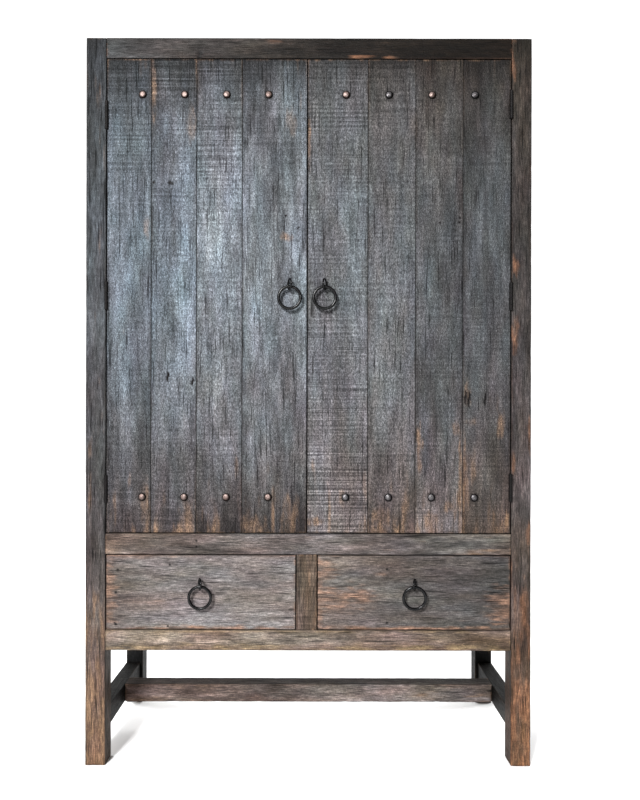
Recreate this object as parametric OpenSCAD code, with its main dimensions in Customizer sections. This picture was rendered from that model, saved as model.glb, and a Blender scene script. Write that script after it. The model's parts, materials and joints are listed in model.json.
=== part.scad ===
// A rustic armoire: a post-and-rail frame that holds two plank doors over two drawers,
// on legs that are tied together by an H-shaped stretcher.
// Millimetres. +X is to the viewer's right, the doors face -Y, +Z is up, and the origin is
// on the floor under the middle of the whole object, pulls included.

/* [Overall] */
// Width over the posts
width = 1200; // [1000:10:1500]
// Height from the floor to the top of the posts
height = 1960; // [1600:10:2400]
// Depth over the posts, without the pulls
depth = 460; // [380:5:620]

/* [Frame] */
// Width of each post
post_w = 54; // [45:1:70]
// Depth of each post
post_d = 56; // [46:1:70]
// Height of the top rail
top_rail_h = 55; // [45:1:80]
// Height of the rail between the doors and the drawers
mid_rail_h = 56; // [45:1:80]
// Height of the rail under the drawers
lower_rail_h = 55; // [50:1:80]
// Thickness of the front rails
rail_t = 40; // [33:1:44]
// Thickness of the back rails
back_rail_t = 30; // [25:1:36]
// Free height between the floor and the lower rail
leg_clear = 310; // [240:5:400]
// Height of the drawer opening
drawer_opening_h = 204; // [170:1:260]
// Width of the upright between the drawers
mullion_w = 55; // [45:1:80]
// Offset of the doors' meeting line and of the upright from the middle
meet_offset = -4; // [-20:1:20]
// Length of a tenon that runs along X
tenon_l = 25; // [15:1:26]
// Thickness of a tenon
tenon_t = 14; // [11:1:17]
// Wood left between two tenons in one post
tenon_wall = 3; // [2:0.5:5]
// Shoulder above and below a tenon
tenon_shoulder = 12; // [10:1:15]
// Length of the stub tenons on the upright
stub_l = 10; // [6:1:14]

/* [Stretchers] */
// Height of the stretchers' section
stretcher_h = 54; // [40:1:70]
// Thickness of a side stretcher
side_stretcher_t = 45; // [35:1:54]
// Thickness of the cross stretcher
cross_stretcher_t = 50; // [35:1:65]
// Height of the stretchers' underside above the floor
stretcher_z = 77; // [50:1:140]
// Distance of the cross stretcher behind the middle of the depth
cross_back = 20; // [0:1:40]

/* [Boards] */
// Thickness of the side boards
side_board_t = 16; // [12:1:20]
// Setback of the side boards from the outer faces of the posts
side_board_inset = 10; // [5:1:14]
// Number of side boards on each side
side_board_count = 3; // [2:1:4]
// Depth of the groove that holds the side boards
groove_d = 8; // [5:1:9]
// Thickness of the back boards
back_board_t = 14; // [10:1:20]
// Number of back boards
back_board_count = 7; // [4:1:9]
// Thickness of the boards of the top and of the cabinet floor
floor_t = 18; // [14:1:24]
// Number of boards in the top, the cabinet floor and the bottom
floor_board_count = 8; // [5:1:10]
// Thickness of the boards under the drawers
bottom_t = 12; // [8:1:15]
// Width of the rebate that carries the ends of those boards
rebate_w = 12; // [8:1:14]
// Seam between boards that lie side by side
seam = 0.6; // [0.4:0.1:2]

/* [Shelves] */
// Thickness of a shelf
shelf_t = 22; // [16:1:30]
// Width of a shelf cleat
cleat_w = 20; // [14:1:26]
// Height of a shelf cleat
cleat_h = 28; // [18:1:40]

/* [Doors] */
// Thickness of the door planks
door_t = 25; // [20:1:30]
// Gap around the doors and the drawer fronts
door_gap = 2.5; // [2:0.1:4]
// Relative widths of the left door's planks, from left to right
left_planks = [120, 123, 124, 175];
// Relative widths of the right door's planks, from left to right
right_planks = [163, 129, 128, 129];
// Width of a batten
batten_w = 90; // [60:1:120]
// Thickness of a batten
batten_t = 20; // [15:1:25]
// Distance from a batten's end to the edge of the door
batten_inset = 32; // [25:1:50]
// Radius of a stud's domed head
stud_r = 11; // [8:0.5:14]
// Height of a stud's domed head
stud_dome = 5; // [3:0.5:7]
// Radius of a stud's shank
stud_shank_r = 2.5; // [1.5:0.1:3]
// Height of the stud rows above the bottom and below the top of the door opening
stud_row = 98; // [70:1:140]
// Distance of the first stud from the hinged edge of its door
stud_hinge_edge = 96; // [60:1:110]
// Distance of the last stud from the meeting edge of its door
stud_meet_edge = 103; // [60:1:120]

/* [Hinges] */
// Height of a hinge leaf
leaf_h = 74; // [50:1:100]
// Width of a hinge leaf from the pin's axis
leaf_w = 24; // [19:1:26]
// Thickness of a hinge leaf
leaf_t = 2; // [1.6:0.1:3]
// Radius of a hinge knuckle
knuckle_r = 4.5; // [4:0.1:6]
// Radius of a hinge pin
pin_r = 2.2; // [1.5:0.1:2.8]
// Distance of the pin's axis in front of the door
pin_stand = 2; // [1:0.1:3]
// Height of the lowest left hinge's middle above the door opening's bottom
left_hinge_low = 120; // [80:1:200]
// Depth of the highest left hinge's middle below the door opening's top
left_hinge_high = 153; // [80:1:200]
// Height of the lowest right hinge's middle above the door opening's bottom
right_hinge_low = 125; // [80:1:200]
// Depth of the highest right hinge's middle below the door opening's top
right_hinge_high = 123; // [80:1:200]
// Radius of a hinge screw's shank
screw_r = 1.9; // [1.5:0.1:2.2]
// Radius of a hinge screw's head
screw_head_r = 3.6; // [3:0.1:4]
// Depth of a hinge screw's head
screw_head_h = 1.5; // [1:0.1:1.6]
// Length of a hinge screw
screw_l = 20; // [12:1:24]

/* [Pulls] */
// Radius of a ring, to the middle of its wire
ring_r = 29.3; // [24:0.5:38]
// Radius of a ring's wire
ring_wire_r = 4.3; // [2.5:0.1:4.5]
// Radius of an eye's loop, to the middle of its wire
eye_r = 14; // [11:0.5:18]
// Radius of an eye's wire
eye_wire_r = 2.5; // [1.8:0.1:3]
// Distance of an eye's middle in front of the wood
eye_stand = 16.5; // [15:0.5:22]
// Angle by which an eye is twisted out of square, in degrees
eye_twist = 20; // [0:1:30]
// Length of each bent end of an eye's legs
leg_l = 14; // [8:1:20]
// Distance of a door's pull from the meeting line
door_eye_x = 47; // [30:1:80]
// Height of the door pulls' eyes above the middle of the door opening
door_eye_z = 29.5; // [-200:0.5:200]
// Height of the drawer pulls' eyes above the middle of the drawer opening
drawer_eye_z = 25.5; // [0:0.5:40]

/* [Drawers] */
// Thickness of a drawer's front
front_t = 25; // [18:1:30]
// Thickness of a drawer's sides and back
box_t = 12; // [10:1:16]
// Thickness of a drawer's bottom
tray_t = 8; // [5:1:10]
// Height of a drawer's bottom above the lower edge of its sides
tray_up = 10; // [6:1:16]
// Depth of the groove that holds a drawer's bottom
tray_groove = 6; // [4:1:7]
// Room between a drawer's side and the opening
box_gap = 4; // [3:0.5:8]
// Room above a drawer's sides
box_head_room = 14; // [8:1:30]
// Room between a drawer and the back boards
box_back_room = 34; // [28:1:60]
// Width of a drawer runner
runner_w = 30; // [20:1:40]
// Height of a drawer runner
runner_h = 25; // [18:1:28]
// Height of a drawer guide
guide_h = 30; // [20:1:60]
// Height of the strip that stops the drawers
stop_h = 20; // [12:1:40]

/* [Clearances] */
// Play of a tenon, a board or a screw in its seat
play = 0.3; // [0.1:0.05:0.5]
// Running play of a hinge pin, on the radius
pin_play = 0.05; // [0.02:0.01:0.1]
// Gap between neighbouring knuckles, and between closed hinge leaves
hinge_gap = 0.5; // [0.3:0.1:0.8]
// Play of a drawer over its runners, and of a ring in its eye
slide_play = 0.5; // [0.3:0.1:1]

/* [Catches] */
// Width of a magnetic catch
catch_w = 40; // [25:1:50]
// Height of a magnetic catch
catch_h = 13; // [9:1:18]
// Thickness of a strike plate
strike_t = 1.5; // [1:0.1:2]
// Distance from the meeting line to the middle of a catch
catch_x = 60; // [40:1:90]

/* [Hidden] */
$fn = 48;

LEFT = -1;
RIGHT = 1;
FRONT = -1;
BACK = 1;
LOW = 0;
HIGH = 1;

// The front face of the frame: the pulls stand in front of it, and the origin is midway.
pull_reach = eye_stand + eye_r * cos(eye_twist) + eye_wire_r;
front_y = (pull_reach - depth) / 2;
back_y = front_y + depth;

// Planes of the frame.
out_x = width / 2;
in_x = out_x - post_w;
pocket_x = out_x - side_board_inset - side_board_t;
post_back_y = front_y + post_d;
post_fore_y = back_y - post_d;
back_face_y = back_y - back_board_t;
back_rail_y = back_face_y - back_rail_t;

// Levels of the rails.
lower_z0 = leg_clear;
lower_z1 = lower_z0 + lower_rail_h;
mid_z0 = lower_z1 + drawer_opening_h;
mid_z1 = mid_z0 + mid_rail_h;
top_z0 = height - top_rail_h;
door_mid_z = (mid_z1 + top_z0) / 2;

// Depth of the rebate under the drawers: it takes the bottom boards and the runners.
bottom_rebate = runner_h + bottom_t;
runner_z0 = lower_z1 - runner_h;
bottom_z0 = lower_z1 - bottom_rebate;

// Leaves sink into the wood by what the gap can't hold.
leaf_sink = leaf_t - (door_gap - hinge_gap) / 2;
pin_y = front_y - pin_stand;
knuckle_count = 5;
knuckle_h = (leaf_h - (knuckle_count - 1) * hinge_gap) / knuckle_count;
pin_head_r = knuckle_r - 0.9;
pin_head_h = 1.5;
frame_knuckles = [0, 2, 4];
door_knuckles = [1, 3];

// Screws of a leaf: [share of the leaf's height, distance behind the pin's axis].
screw_spots = [[0.16, 11], [0.5, 17], [0.84, 11]];
screw_slot = 0.8;

// The ring hangs in the bottom of its eye.
wire_drop = eye_r - eye_wire_r - slide_play - ring_wire_r;
ring_drop = wire_drop + ring_r;
eye_root = eye_r * sin(eye_twist);
leg_r = 1.6;

// The drawers' opening and depth.
box_y1 = back_face_y - box_back_room;
box_z0 = lower_z1 + slide_play;
box_z1 = mid_z0 - box_head_room;

old_wood = [0.21, 0.19, 0.18];
frame_wood = [0.27, 0.22, 0.18];
inner_wood = [0.42, 0.33, 0.25];
iron = [0.10, 0.10, 0.11];
stud_iron = [0.38, 0.32, 0.30];
steel = [0.55, 0.55, 0.56];

// A tenon that runs along Y stops short of those that enter the same post along X.
function y_tenon_l(end) = (end == FRONT ? post_back_y - front_y - (rail_t + tenon_t) / 2
    : back_rail_y + (back_rail_t - tenon_t) / 2 - post_fore_y) - tenon_wall;

function door_x0(side) = side == LEFT ? -in_x + door_gap : meet_offset + door_gap / 2;
function door_x1(side) = side == LEFT ? meet_offset - door_gap / 2 : in_x - door_gap;
function door_z0() = mid_z1 + door_gap;
function door_z1() = top_z0 - door_gap;
function planks(side) = side == LEFT ? left_planks : right_planks;
function sum_to(list, n) = n == 0 ? 0 : list[n - 1] + sum_to(list, n - 1);
function seam_x(side, n) = door_x0(side)
    + (door_x1(side) - door_x0(side)) * sum_to(planks(side), n) / sum_to(planks(side), 4);
function stud_edge(side) = side == LEFT ? stud_hinge_edge : stud_meet_edge;
function stud_pitch(side) = (door_x1(side) - door_x0(side) - stud_hinge_edge - stud_meet_edge) / 3;
function stud_x(side, n) = door_x0(side) + stud_edge(side) + n * stud_pitch(side);
function stud_z(row) = row == LOW ? mid_z1 + stud_row : top_z0 - stud_row;
function hinge_low(side) = side == LEFT ? left_hinge_low : right_hinge_low;
function hinge_high(side) = side == LEFT ? left_hinge_high : right_hinge_high;
function hinge_zs(side) = [mid_z1 + hinge_low(side), door_mid_z, top_z0 - hinge_high(side)];
function pin_x(side) = side * (in_x - door_gap / 2);
function door_pull_x(side) = meet_offset + side * door_eye_x;
function drawer_x0(side) = side == LEFT ? -in_x : meet_offset + mullion_w / 2;
function drawer_x1(side) = side == LEFT ? meet_offset - mullion_w / 2 : in_x;
function drawer_pull_x(side) = (drawer_x0(side) + drawer_x1(side)) / 2;
function door_pull_z() = door_mid_z + door_eye_z;
function drawer_pull_z() = (lower_z1 + mid_z0) / 2 + drawer_eye_z;

// A box between two corners.
module block(lo, hi) {
    translate(lo) cube(hi - lo);
}

// The same box with play all round, to cut a seat for it.
module seat(lo, hi) {
    block(lo - [play, play, play], hi + [play, play, play]);
}

// Boards side by side along X.
module boards_x(x0, x1, count, y0, y1, z0, z1) {
    pitch = (x1 - x0 + seam) / count;
    for (n = [0 : count - 1])
        block([x0 + n * pitch, y0, z0], [x0 + (n + 1) * pitch - seam, y1, z1]);
}

// Boards side by side along Y.
module boards_y(x0, x1, y0, y1, count, z0, z1) {
    pitch = (y1 - y0 + seam) / count;
    for (n = [0 : count - 1])
        block([x0, y0 + n * pitch, z0], [x1, y0 + (n + 1) * pitch - seam, z1]);
}

// The tenons of a rail that runs along X, one into each post.
module x_tenon(side, y0, t, z0, h, cut = 0) {
    lo = [side == LEFT ? -in_x - tenon_l : in_x, y0 + (t - tenon_t) / 2, z0 + tenon_shoulder];
    hi = [side == LEFT ? -in_x : in_x + tenon_l, y0 + (t + tenon_t) / 2, z0 + h - tenon_shoulder];
    if (cut == 0) block(lo, hi);
    else seat(lo, hi);
}

// The tenons of a rail that runs along Y at distance x0 from the outer face, t thick.
module y_tenon(side, end, x0, t, z0, h, cut = 0) {
    mid = side * (out_x - x0 - t / 2);
    long = y_tenon_l(end);
    lo = [mid - tenon_t / 2, end == FRONT ? post_back_y - long : post_fore_y, z0 + tenon_shoulder];
    hi = [mid + tenon_t / 2, end == FRONT ? post_back_y : post_fore_y + long,
        z0 + h - tenon_shoulder];
    if (cut == 0) block(lo, hi);
    else seat(lo, hi);
}

// The stub tenons of the upright between the drawers.
module stub_tenon(end, cut = 0) {
    mid_y = front_y + (rail_t - rebate_w) / 2;
    half = mullion_w / 2 - tenon_shoulder;
    lo = [meet_offset - half, mid_y - tenon_t / 2, end == LOW ? lower_z1 - stub_l : mid_z0];
    hi = [meet_offset + half, mid_y + tenon_t / 2, end == LOW ? lower_z1 : mid_z0 + stub_l];
    if (cut == 0) block(lo, hi);
    else seat(lo, hi);
}

// The panel of side boards as one box.
module side_panel_seat(side) {
    x0 = side == LEFT ? -out_x + side_board_inset : pocket_x;
    seat([x0, post_back_y - groove_d, lower_z1 - groove_d],
        [x0 + side_board_t, post_fore_y + groove_d, top_z0 + groove_d]);
}

// The tenon that joins the cross stretcher to a side stretcher.
module cross_tenon(side, cut = 0) {
    face = side * (out_x - side_stretcher_t);
    mid_y = (front_y + back_y) / 2 + cross_back;
    lo = [side == LEFT ? face - tenon_l : face, mid_y - tenon_t / 2, stretcher_z + tenon_shoulder];
    hi = [side == LEFT ? face : face + tenon_l, mid_y + tenon_t / 2,
        stretcher_z + stretcher_h - tenon_shoulder];
    if (cut == 0) block(lo, hi);
    else seat(lo, hi);
}

// The space that a hinge takes in the wood on one side of its pin.
module hinge_seat(side, toward) {
    for (z = hinge_zs(side)) translate([pin_x(side), pin_y, z - leaf_h / 2]) {
        far = door_gap / 2 + leaf_sink;
        block([toward < 0 ? -far : 0, 0, -play], [toward < 0 ? 0 : far, leaf_w + play, leaf_h + play]);
        translate([0, 0, -pin_head_h - hinge_gap])
            cylinder(r = knuckle_r + hinge_gap, h = leaf_h + 2 * (pin_head_h + hinge_gap));
        for (spot = screw_spots) translate([0, spot[1], spot[0] * leaf_h])
            rotate([0, toward * 90, 0]) cylinder(r = screw_r + play, h = screw_l + door_gap);
    }
}

// A post, with the seats of all that enters it.
module post(side, end) {
    x0 = side == LEFT ? -out_x : in_x;
    y0 = end == FRONT ? front_y : post_fore_y;
    rail_y = end == FRONT ? front_y : back_rail_y;
    thick = end == FRONT ? rail_t : back_rail_t;
    color(frame_wood) difference() {
        block([x0, y0, 0], [x0 + post_w, y0 + post_d, height]);
        x_tenon(side, rail_y, thick, top_z0, top_rail_h, cut = 1);
        x_tenon(side, rail_y, thick, mid_z0, mid_rail_h, cut = 1);
        x_tenon(side, rail_y, thick, lower_z0, lower_rail_h, cut = 1);
        y_tenon(side, end, 0, post_w, top_z0, top_rail_h, cut = 1);
        y_tenon(side, end, 0, post_w, lower_z0, lower_rail_h, cut = 1);
        y_tenon(side, end, 0, side_stretcher_t, stretcher_z, stretcher_h, cut = 1);
        side_panel_seat(side);
        if (end == FRONT) hinge_seat(side, side);
    }
}

// A front rail with tenons and a rebate that carries boards at its back.
module front_rail(z0, h, rebate_d) {
    block([-in_x, front_y, z0], [in_x, front_y + rail_t - rebate_w, z0 + h]);
    block([-in_x, front_y, z0], [in_x, front_y + rail_t, z0 + h - rebate_d]);
    x_tenon(LEFT, front_y, rail_t, z0, h);
    x_tenon(RIGHT, front_y, rail_t, z0, h);
}

// A back rail with tenons and a rebate that carries boards at its front.
module back_rail(z0, h, rebate_d) {
    block([-in_x, back_rail_y + rebate_w, z0], [in_x, back_face_y, z0 + h]);
    block([-in_x, back_rail_y, z0], [in_x, back_face_y, z0 + h - rebate_d]);
    x_tenon(LEFT, back_rail_y, back_rail_t, z0, h);
    x_tenon(RIGHT, back_rail_y, back_rail_t, z0, h);
}

module front_left_post() post(LEFT, FRONT);
module front_right_post() post(RIGHT, FRONT);
module back_left_post() post(LEFT, BACK);
module back_right_post() post(RIGHT, BACK);

module top_rail() color(old_wood) front_rail(top_z0, top_rail_h, floor_t);

module mid_rail() color(frame_wood) difference() {
    front_rail(mid_z0, mid_rail_h, floor_t);
    stub_tenon(HIGH, cut = 1);
}

module lower_rail() color(frame_wood) difference() {
    front_rail(lower_z0, lower_rail_h, bottom_rebate);
    stub_tenon(LOW, cut = 1);
}

module drawer_mullion() color(frame_wood) {
    block([meet_offset - mullion_w / 2, front_y, lower_z1],
        [meet_offset + mullion_w / 2, front_y + rail_t, mid_z0]);
    stub_tenon(LOW);
    stub_tenon(HIGH);
}

module back_rails() color(frame_wood) {
    back_rail(lower_z0, lower_rail_h, bottom_rebate);
    back_rail(mid_z0, mid_rail_h, floor_t);
    back_rail(top_z0, top_rail_h, floor_t);
}

module side_rails() color(frame_wood) difference() {
    for (side = [LEFT, RIGHT]) for (level = [[lower_z0, lower_rail_h], [top_z0, top_rail_h]]) {
        x0 = side == LEFT ? -out_x : in_x;
        block([x0, post_back_y, level[0]], [x0 + post_w, post_fore_y, level[0] + level[1]]);
        y_tenon(side, FRONT, 0, post_w, level[0], level[1]);
        y_tenon(side, BACK, 0, post_w, level[0], level[1]);
    }
    side_panel_seat(LEFT);
    side_panel_seat(RIGHT);
}

module side_boards(side) {
    x0 = side == LEFT ? -out_x + side_board_inset : pocket_x;
    color(old_wood) boards_y(x0, x0 + side_board_t, post_back_y - groove_d, post_fore_y + groove_d,
        side_board_count, lower_z1 - groove_d, top_z0 + groove_d);
}

module left_side_boards() side_boards(LEFT);
module right_side_boards() side_boards(RIGHT);

module back_boards() color(old_wood)
    boards_x(-in_x, in_x, back_board_count, back_face_y, back_y, lower_z0, height);

module top_boards() color(old_wood)
    boards_x(-in_x, in_x, floor_board_count, front_y + rail_t - rebate_w,
        back_rail_y + rebate_w, height - floor_t, height);

// The end boards reach the side boards and are notched round the posts.
module cabinet_floor() color(inner_wood) difference() {
    boards_x(-pocket_x, pocket_x, floor_board_count, front_y + rail_t - rebate_w,
        back_rail_y + rebate_w, mid_z1 - floor_t, mid_z1);
    post_notches(FRONT);
    post_notches(BACK);
}

module post_notches(end) for (side = [LEFT, RIGHT]) {
    x0 = side == LEFT ? -out_x : in_x;
    y0 = end == FRONT ? front_y : post_fore_y;
    seat([x0, y0, 0], [x0 + post_w, y0 + post_d, height]);
}

// Strips under the cabinet floor that keep the drawers from tipping.
module floor_bearers() color(inner_wood)
    for (x = [-in_x, meet_offset - runner_w / 2, in_x - runner_w])
        block([x, front_y + rail_t, mid_z0], [x + runner_w, back_rail_y, mid_z1 - floor_t]);

function shelf_z(n) = mid_z1 + (top_z0 - mid_z1) * n / 3 - shelf_t / 2;

module shelf(n) color(inner_wood) difference() {
    block([-pocket_x + play, post_back_y + play, shelf_z(n)],
        [pocket_x - play, back_face_y - play, shelf_z(n) + shelf_t]);
    post_notches(BACK);
}

module lower_shelf() shelf(1);
module upper_shelf() shelf(2);

module shelf_cleats() color(inner_wood)
    for (n = [1, 2]) for (x = [-pocket_x, pocket_x - cleat_w])
        block([x, post_back_y, shelf_z(n) - cleat_h], [x + cleat_w, post_fore_y, shelf_z(n)]);

// Three runners with their guides, and the strip across their back ends that stops the drawers.
module drawer_runners() color(inner_wood) {
    y0 = front_y + rail_t - rebate_w;
    y1 = back_rail_y + rebate_w;
    mid_x0 = meet_offset - mullion_w / 2;
    mid_x1 = meet_offset + mullion_w / 2;
    block([-in_x, y0, runner_z0], [-in_x + runner_w, y1, lower_z1]);
    block([in_x - runner_w, y0, runner_z0], [in_x, y1, lower_z1]);
    block([mid_x0 - runner_w, y0, runner_z0], [mid_x1 + runner_w, y1, lower_z1]);
    for (x = [-pocket_x, in_x + play])
        block([x, post_back_y, lower_z1 + play], [x + pocket_x - in_x - play, post_fore_y,
            lower_z1 + guide_h]);
    block([mid_x0 + play, front_y + rail_t, lower_z1 - play],
        [mid_x1 - play, box_y1, lower_z1 + guide_h]);
    block([-in_x + play, box_y1 + play, lower_z1 + play],
        [in_x - play, back_face_y - play, lower_z1 + stop_h]);
}

module bottom_boards() color(inner_wood)
    boards_x(-in_x, in_x, floor_board_count, front_y + rail_t - rebate_w,
        back_rail_y + rebate_w, bottom_z0, bottom_z0 + bottom_t);

module side_stretcher(side) color(frame_wood) difference() {
    x0 = side == LEFT ? -out_x : out_x - side_stretcher_t;
    union() {
        block([x0, post_back_y, stretcher_z],
            [x0 + side_stretcher_t, post_fore_y, stretcher_z + stretcher_h]);
        y_tenon(side, FRONT, 0, side_stretcher_t, stretcher_z, stretcher_h);
        y_tenon(side, BACK, 0, side_stretcher_t, stretcher_z, stretcher_h);
    }
    cross_tenon(side, cut = 1);
}

module left_stretcher() side_stretcher(LEFT);
module right_stretcher() side_stretcher(RIGHT);

module cross_stretcher() color(old_wood) {
    half = out_x - side_stretcher_t;
    mid_y = (front_y + back_y) / 2 + cross_back;
    block([-half, mid_y - cross_stretcher_t / 2, stretcher_z],
        [half, mid_y + cross_stretcher_t / 2, stretcher_z + stretcher_h]);
    cross_tenon(LEFT);
    cross_tenon(RIGHT);
}

// One leaf of a butt hinge about a pin on the Z axis, on the side of it that toward names.
module leaf(toward, own, other) difference() {
    union() {
        block([toward < 0 ? -hinge_gap / 2 - leaf_t : hinge_gap / 2, 0, 0],
            [toward < 0 ? -hinge_gap / 2 : hinge_gap / 2 + leaf_t, leaf_w, leaf_h]);
        for (n = own) translate([0, 0, n * (knuckle_h + hinge_gap)])
            cylinder(r = knuckle_r, h = knuckle_h);
    }
    translate([0, 0, -1]) cylinder(r = pin_r + pin_play, h = leaf_h + 2);
    for (n = other) translate([0, 0, n * (knuckle_h + hinge_gap) - hinge_gap])
        cylinder(r = knuckle_r + hinge_gap, h = knuckle_h + 2 * hinge_gap);
    for (spot = screw_spots) translate([toward * hinge_gap / 2, spot[1], spot[0] * leaf_h])
        rotate([0, toward * 90, 0]) {
            cylinder(r = screw_r + play, h = leaf_t + 1);
            translate([0, 0, -play]) cylinder(r1 = screw_head_r + 2 * play, r2 = screw_r,
                h = screw_head_h + 2 * play);
        }
}

// A countersunk screw that runs along Z from its head's face.
module screw() difference() {
    union() {
        cylinder(r1 = screw_head_r, r2 = screw_r, h = screw_head_h);
        cylinder(r = screw_r, h = screw_l);
    }
    block([-screw_head_r, -screw_slot / 2, -1], [screw_head_r, screw_slot / 2, screw_slot]);
}

module on_hinges(side) for (z = hinge_zs(side)) translate([pin_x(side), pin_y, z - leaf_h / 2]) children();

module screws(toward) for (spot = screw_spots)
    translate([toward * hinge_gap / 2, spot[1], spot[0] * leaf_h]) rotate([0, toward * 90, 0]) screw();

module hinge_frame_leaves() color(iron) {
    on_hinges(LEFT) leaf(LEFT, frame_knuckles, door_knuckles);
    on_hinges(RIGHT) leaf(RIGHT, frame_knuckles, door_knuckles);
}

module hinge_pin() {
    cylinder(r = pin_r, h = leaf_h);
    translate([0, 0, leaf_h]) cylinder(r1 = pin_head_r, r2 = pin_r, h = pin_head_h);
    translate([0, 0, -pin_head_h]) cylinder(r1 = pin_r, r2 = pin_head_r, h = pin_head_h);
}

module hinge_pins() color(iron) {
    on_hinges(LEFT) hinge_pin();
    on_hinges(RIGHT) hinge_pin();
}

module hinge_frame_screws() color(steel) {
    on_hinges(LEFT) screws(LEFT);
    on_hinges(RIGHT) screws(RIGHT);
}

// Magnets under the top rail, which also stop the doors.
module door_catches() color(iron) for (side = [LEFT, RIGHT]) {
    x = meet_offset + side * catch_x;
    block([x - catch_w / 2, front_y + door_t + strike_t + hinge_gap, top_z0 - catch_h],
        [x + catch_w / 2, front_y + rail_t, top_z0]);
}

// The holes of the studs through a door and its battens.
module stud_holes(side) for (row = [LOW, HIGH]) for (n = [0 : 3])
    translate([stud_x(side, n), front_y - 1, stud_z(row)]) rotate([-90, 0, 0])
        cylinder(r = stud_shank_r + play, h = door_t + batten_t - 4);

// The hole of a pull's legs through wood that is thick deep.
module eye_hole(x, z, side, thick) translate([x + side * eye_root, front_y - 1, z])
    rotate([-90, 0, 0]) cylinder(r = eye_wire_r + play, h = thick + 2);

module door_plank(side, n) color(old_wood) difference() {
    block([seam_x(side, n) + (n > 0 ? seam / 2 : 0), front_y, door_z0()],
        [seam_x(side, n + 1) - (n < 3 ? seam / 2 : 0), front_y + door_t, door_z1()]);
    stud_holes(side);
    hinge_seat(side, -side);
    eye_hole(door_pull_x(side), door_pull_z(), side, door_t);
}

module door_battens(side) color(inner_wood) difference() {
    for (row = [LOW, HIGH])
        block([door_x0(side) + batten_inset, front_y + door_t, stud_z(row) - batten_w / 2],
            [door_x1(side) - batten_inset, front_y + door_t + batten_t, stud_z(row) + batten_w / 2]);
    stud_holes(side);
}

// A nail with a domed head, in the face at the origin, that runs along +Y.
module stud() {
    ball = (stud_r * stud_r + stud_dome * stud_dome) / (2 * stud_dome);
    rotate([-90, 0, 0]) {
        intersection() {
            translate([0, 0, ball - stud_dome]) sphere(r = ball);
            translate([0, 0, -stud_dome]) cylinder(r = stud_r + 1, h = stud_dome);
        }
        cylinder(r = stud_shank_r, h = door_t + batten_t - 6);
    }
}

module door_studs(side) color(stud_iron) for (row = [LOW, HIGH]) for (n = [0 : 3])
    translate([stud_x(side, n), front_y, stud_z(row)]) stud();

module door_hinge_leaves(side) color(iron) on_hinges(side) leaf(-side, door_knuckles, frame_knuckles);
module door_hinge_screws(side) color(steel) on_hinges(side) screws(-side);

module strike_plate(side) color(steel) {
    x = meet_offset + side * catch_x;
    block([x - catch_w / 2, front_y + door_t, door_z1() - catch_h],
        [x + catch_w / 2, front_y + door_t + strike_t, door_z1() - 1]);
}

// A loop of wire whose two legs go through the wood and are bent flat behind it.
module eye(x, z, side, thick) color(iron) translate([x, front_y, z]) {
    translate([0, -eye_stand, 0]) rotate([0, 0, -side * eye_twist]) rotate([0, 90, 0])
        rotate_extrude() translate([eye_r, 0]) circle(r = eye_wire_r);
    root_y = -eye_stand + eye_r * cos(eye_twist);
    translate([side * eye_root, root_y, 0]) rotate([-90, 0, 0])
        cylinder(r = eye_wire_r, h = thick + 2 * leg_r - root_y);
    translate([side * eye_root, thick + leg_r + play, -leg_l]) cylinder(r = leg_r, h = 2 * leg_l);
}

module ring(x, z) color(iron) translate([x, front_y - eye_stand, z - ring_drop]) rotate([90, 0, 0])
    rotate_extrude() translate([ring_r, 0]) circle(r = ring_wire_r);

module drawer_front(side) color(old_wood) difference() {
    block([drawer_x0(side) + door_gap, front_y, lower_z1 + door_gap],
        [drawer_x1(side) - door_gap, front_y + front_t, mid_z0 - door_gap]);
    drawer_tray_seat(side);
    eye_hole(drawer_pull_x(side), drawer_pull_z(), side, front_t);
}

function tray_lo(side) = [drawer_x0(side) + box_gap + box_t - tray_groove,
    front_y + front_t - tray_groove, box_z0 + tray_up];
function tray_hi(side) = [drawer_x1(side) - box_gap - box_t + tray_groove,
    box_y1, box_z0 + tray_up + tray_t];

module drawer_tray_seat(side) seat(tray_lo(side), tray_hi(side) + [0, 1, 0]);

// Two sides with grooves for the bottom, and the back that stands on it.
module drawer_box(side) color(inner_wood) {
    x0 = drawer_x0(side) + box_gap;
    x1 = drawer_x1(side) - box_gap;
    y0 = front_y + front_t;
    difference() {
        union() {
            block([x0, y0, box_z0], [x0 + box_t, box_y1, box_z1]);
            block([x1 - box_t, y0, box_z0], [x1, box_y1, box_z1]);
        }
        drawer_tray_seat(side);
    }
    block([x0 + box_t + play, box_y1 - box_t, box_z0 + tray_up + tray_t],
        [x1 - box_t - play, box_y1, box_z1]);
}

module drawer_bottom(side) color(inner_wood) block(tray_lo(side), tray_hi(side));

module left_door_battens() door_battens(LEFT);
module left_door_studs() door_studs(LEFT);
module left_door_hinge_leaves() door_hinge_leaves(LEFT);
module left_door_hinge_screws() door_hinge_screws(LEFT);
module left_door_strike_plate() strike_plate(LEFT);
module left_door_eye() eye(door_pull_x(LEFT), door_pull_z(), LEFT, door_t);
module right_door_battens() door_battens(RIGHT);
module right_door_studs() door_studs(RIGHT);
module right_door_hinge_leaves() door_hinge_leaves(RIGHT);
module right_door_hinge_screws() door_hinge_screws(RIGHT);
module right_door_strike_plate() strike_plate(RIGHT);
module right_door_eye() eye(door_pull_x(RIGHT), door_pull_z(), RIGHT, door_t);
module left_drawer_front() drawer_front(LEFT);
module left_drawer_box() drawer_box(LEFT);
module left_drawer_bottom() drawer_bottom(LEFT);
module left_drawer_eye() eye(drawer_pull_x(LEFT), drawer_pull_z(), LEFT, front_t);
module right_drawer_front() drawer_front(RIGHT);
module right_drawer_box() drawer_box(RIGHT);
module right_drawer_bottom() drawer_bottom(RIGHT);
module right_drawer_eye() eye(drawer_pull_x(RIGHT), drawer_pull_z(), RIGHT, front_t);
module left_door_ring() ring(door_pull_x(LEFT), door_pull_z());
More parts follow.
